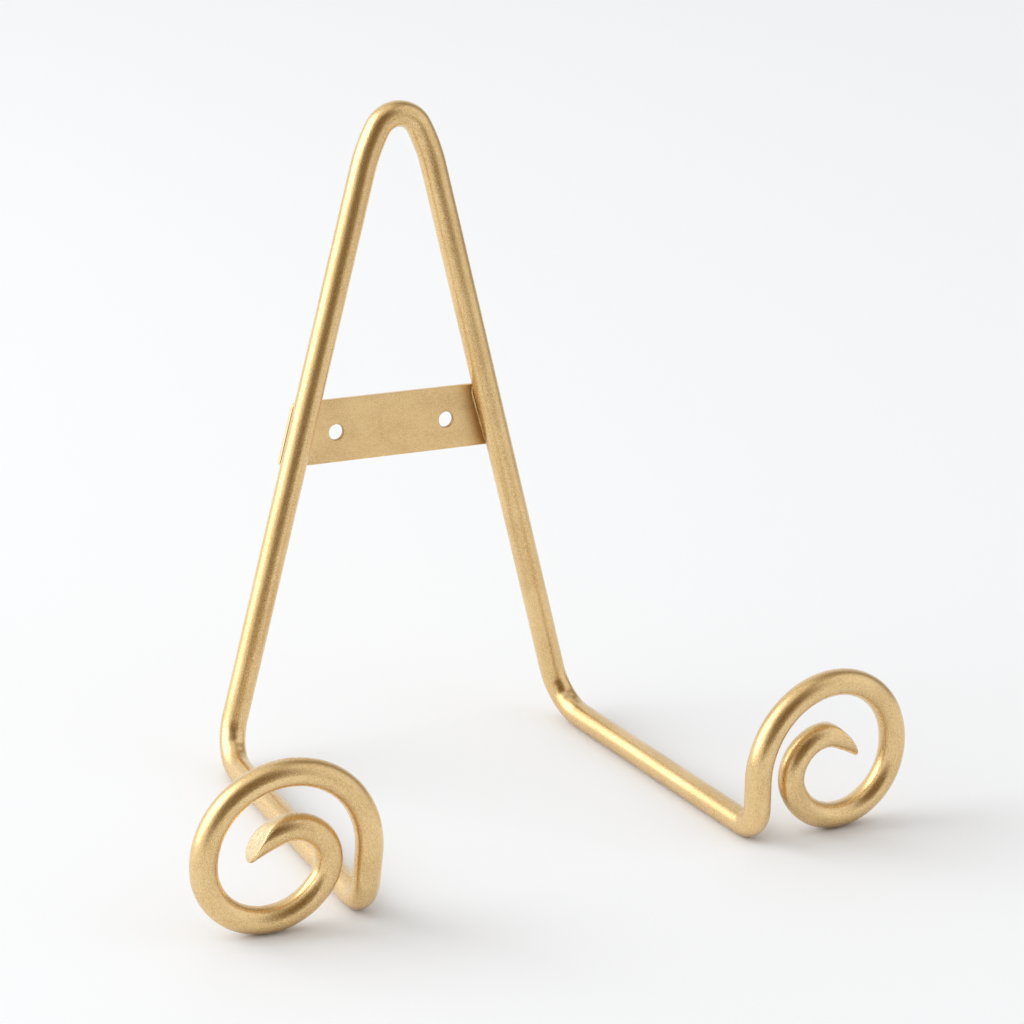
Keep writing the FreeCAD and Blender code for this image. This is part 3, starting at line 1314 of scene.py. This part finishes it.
@dataclass
class Viewpoint:
    """The camera, placed by its direction in degrees and its distance from the stand."""

    azimuth: float = 29.34
    elevation: float = 19.49
    roll: float = 3.12
    distance: float = 1.0483
    focal_length: float = 124.3
    sensor: float = 36.0
    nearest: float = 0.05
    furthest: float = 100.0
    aim: tuple[float, float, float] = (0.0073, -0.0070, 0.0937)

    def axes(self) -> tuple[Vector, Vector, Vector]:
        """Work out how the camera is turned.

        Returns:
            Its right, up and forward directions.
        """
        turn, dip = math.radians(self.azimuth), math.radians(self.elevation)
        forward = Vector((math.sin(turn) * math.cos(dip), math.cos(turn) * math.cos(dip),
                          -math.sin(dip)))
        level = Vector((math.cos(turn), -math.sin(turn), 0.0))
        upright = level.cross(forward)
        lean = math.radians(self.roll)
        right = level * math.cos(lean) + upright * math.sin(lean)
        up = upright * math.cos(lean) - level * math.sin(lean)
        return right, up, forward

    def level_axes(self) -> tuple[Vector, Vector]:
        """The camera's right and forward directions, laid level."""
        right, _, forward = self.axes()
        return tuple(Vector((way.x, way.y, 0.0)).normalized() for way in (right, forward))

    def build(self) -> bpy.types.Object:
        """Make the camera and give it to the scene.

        Returns:
            The camera.
        """
        right, up, forward = self.axes()
        place = Vector(self.aim) - forward * self.distance
        lens = bpy.data.cameras.new("camera")
        lens.lens = self.focal_length
        lens.sensor_width = self.sensor
        lens.clip_start = self.nearest
        lens.clip_end = self.furthest
        camera = add_to_scene("camera", lens)
        turn = Matrix((right, up, -forward)).transposed()
        camera.matrix_world = Matrix.Translation(place) @ turn.to_4x4()
        bpy.context.scene.camera = camera
        return camera


@dataclass(frozen=True)
class Glow:
    """A soft patch of the studio's surroundings, with its angles in degrees.

    It stands so far left of the way back to the camera and so high over the floor. Its colour
    is whole up to the inner angle from its middle and gone at the outer one.
    """

    left: float
    height: float
    inner: float
    outer: float
    colour: Colour


@dataclass
class Studio:
    """Pale floor and soft light from all round, strongest from the left.

    The paper's edges are measured from the stand's middle along the camera's level axes.
    """

    view: Viewpoint
    floor_size: float = 14.0
    paper_ahead: float = 0.42
    paper_behind: float = 3.0
    paper_left: float = 0.9
    paper_right: float = 0.55
    floor_tone: Colour = (0.875, 0.892, 0.914)
    floor_roughness: float = 0.75
    floor_specular: float = 0.1
    surround: Colour = (0.71, 0.66, 0.57)
    glows: tuple[Glow, ...] = (
        Glow(-115.0, 15.0, 30.0, 90.0, (0.40, 0.355, 0.27)),
        Glow(-145.0, 40.0, 8.0, 40.0, (0.30, 0.24, 0.16)),
        Glow(165.0, 5.0, 5.0, 62.0, (0.90, 0.93, 1.00)),
        Glow(-78.0, 26.0, 22.0, 50.0, (0.98, 0.98, 0.99)),
        Glow(-12.0, 28.0, 14.0, 50.0, (0.17, 0.095, 0.02)),
        Glow(-15.0, -18.0, 12.0, 42.0, (0.22, 0.145, 0.06)),
        Glow(88.0, 66.0, 8.0, 37.0, (1.0, 0.96, 0.88)),
        Glow(46.0, 4.0, 5.0, 24.0, (1.0, 0.97, 0.90)),
        Glow(84.0, 25.0, 10.0, 41.0, (2.95, 3.0, 3.12)),
    )
    backdrop: Colour = (0.93, 0.93, 0.93)
    evenness: float = 0.45
    window_watts: float = 10.0
    window_size: tuple[float, float] = (1.6, 0.9)
    window_left: float = 1.5
    window_height: float = 0.75

    def build(self) -> list[bpy.types.Object]:
        """Make the surroundings, the window and the floor.

        Returns:
            The floor's parts.
        """
        world = bpy.data.worlds.new("studio")
        world.use_nodes = True
        world.node_tree.nodes.clear()
        sheet = NodeSheet(world.node_tree)
        around = sheet.add("ShaderNodeBackground")
        sheet.feed(self.surroundings(sheet), around.inputs["Color"])
        plain = sheet.add("ShaderNodeBackground")
        sheet.feed(self.backdrop, plain.inputs["Color"])
        path = sheet.add("ShaderNodeLightPath")
        evened = sheet.math("MULTIPLY", path.outputs["Is Diffuse Ray"], self.evenness)
        both = sheet.add("ShaderNodeMixShader")
        sheet.feed(sheet.total(path.outputs["Is Camera Ray"], evened), both.inputs[0])
        sheet.feed(around.outputs[0], both.inputs[1])
        sheet.feed(plain.outputs[0], both.inputs[2])
        output = sheet.add("ShaderNodeOutputWorld")
        sheet.feed(both.outputs[0], output.inputs[0])
        bpy.context.scene.world = world
        bpy.context.scene.view_settings.view_transform = "Standard"
        self.make_window()
        return self.make_floor()

    def surroundings(self, sheet: NodeSheet) -> object:
        """Lay the glows over the plain surroundings, in order.

        Args:
            sheet: The world's nodes.

        Returns:
            The colour seen in each direction.
        """
        space = sheet.add("ShaderNodeTexCoord").outputs["Generated"]
        colour: object = self.surround
        for glow in self.glows:
            aim = sheet.add("ShaderNodeVectorMath", operation="DOT_PRODUCT")
            sheet.feed(space, aim.inputs[0])
            aim.inputs[1].default_value = self.toward(glow)
            edges = (math.cos(math.radians(glow.outer)), math.cos(math.radians(glow.inner)))
            share = sheet.ranged(aim.outputs["Value"], edges, (0.0, 1.0))
            colour = sheet.blend(share, colour, glow.colour)
        return colour

    def toward(self, glow: Glow) -> Vector:
        """Find the way to a glow's middle.

        Args:
            glow: The glow.

        Returns:
            The unit direction.
        """
        across, ahead = self.view.level_axes()
        angle, rise = math.radians(glow.left), math.radians(glow.height)
        level = -ahead * math.cos(angle) - across * math.sin(angle)
        return level * math.cos(rise) + UP * math.sin(rise)

    def make_window(self) -> bpy.types.Object:
        """Make a broad soft light low on the left, which brightens the floor on its side.

        Returns:
            The lamp.
        """
        lamp = bpy.data.lights.new("window", "AREA")
        lamp.shape = "RECTANGLE"
        lamp.size, lamp.size_y = self.window_size
        lamp.energy = self.window_watts
        across, _ = self.view.level_axes()
        place = UP * self.window_height - across * self.window_left
        window = add_to_scene("window", lamp)
        turn = (-place).to_track_quat("-Z", "Y")
        window.matrix_world = Matrix.Translation(place) @ turn.to_matrix().to_4x4()
        window.visible_glossy = False
        return window

    def make_floor(self) -> list[bpy.types.Object]:
        """Make the paper under the stand, and the floor round it that the gold doesn't mirror.

        Returns:
            Both parts.
        """
        reach = self.floor_size / 2
        inner = self.corners(-self.paper_left, self.paper_right, -self.paper_ahead,
                             self.paper_behind)
        outer = self.corners(-reach, reach, -reach, reach)
        paper = self.sheet_of("paper", inner, [(0, 1, 2, 3)])
        sides = [(k, (k + 1) % 4, 4 + (k + 1) % 4, 4 + k) for k in range(4)]
        beyond = self.sheet_of("floor_round_paper", outer + inner, sides)
        beyond.visible_glossy = False
        return [paper, beyond]

    def corners(self, left: float, right: float, near: float, far: float) -> list[Vector]:
        """The corners of a rectangle on the floor, along the camera's level axes."""
        across, ahead = self.view.level_axes()
        return [across * x + ahead * y for x, y in ((left, near), (right, near), (right, far), (left, far))]

    def sheet_of(self, name: str, points: list[Vector],
                 faces: list[tuple[int, ...]]) -> bpy.types.Object:
        """A flat part of the floor in the floor's own finish.

        Args:
            name: The part's name.
            points: Its corners.
            faces: Its faces, as corners in order.

        Returns:
            The part.
        """
        mesh = bpy.data.meshes.new(name)
        mesh.from_pydata(points, [], faces)
        part = add_to_scene(name, mesh)
        mesh.materials.append(self.floor_finish())
        return part

    def floor_finish(self) -> bpy.types.Material:
        """Make the matt pale paper once, and then share it.

        Returns:
            The material.
        """
        known = bpy.data.materials.get("floor_paper")
        if known:
            return known
        material = bpy.data.materials.new("floor_paper")
        material.use_nodes = True
        shader = material.node_tree.nodes["Principled BSDF"]
        shader.inputs["Base Color"].default_value = (*self.floor_tone, 1.0)
        shader.inputs["Roughness"].default_value = self.floor_roughness
        shader.inputs["Specular IOR Level"].default_value = self.floor_specular
        return material


# ---- the whole stand ----


def stand_in(piece: bpy.types.Object, nodes: list[str]) -> None:
    """Let a piece ride on the stand and stand for its nodes.

    Args:
        piece: The finished piece.
        nodes: The frame's nodes that it replaces.
    """
    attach(piece, BODY)
    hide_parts(*nodes)
    LOG.info("%s: %d vertices, stands for %s", piece.name, len(piece.data.vertices),
             ", ".join(nodes))


def main() -> None:
    """Build the stand, its studio and its camera."""
    logging.basicConfig(level=logging.INFO, format="%(name)s: %(message)s")
    plan = StandPlan()
    rod_paint = GoldPaint("gold_rod", "rod")
    # Painted light: the strap's colours are lighter than the rod's, although both wear the same paint, to
    # make up for the shade the strap gets.
    strap_paint_lightened = GoldPaint("gold_strap", "strap", light=(0.93, 0.69, 0.35),
                            deep=(0.74, 0.50, 0.225), roughness=0.40, speckle=0.4,
                            flake_depth=0.006 * MM, corner_reach=3.0 * MM, corner_dulling=0.6)
    # The braze beads get strong painted shade in their grooves.
    braze_paint = GoldPaint("gold_braze", "braze", roughness=0.26, corner_reach=2.5 * MM,
                            corner_dulling=0.95)

    rod = BentRod(plan)
    stand_in(rod.build(rod_paint), rod.nodes())
    strap = BackStrap(plan)
    stand_in(strap.build(strap_paint_lightened), ["back_strap"])
    for side in Side:
        for inner in (True, False):
            bead = BrazeBead(plan, strap, side, inner)
            stand_in(bead.build(braze_paint), [bead.name])

    view = Viewpoint()
    Studio(view).build()
    view.build()


if __name__ == "__main__":
    main()
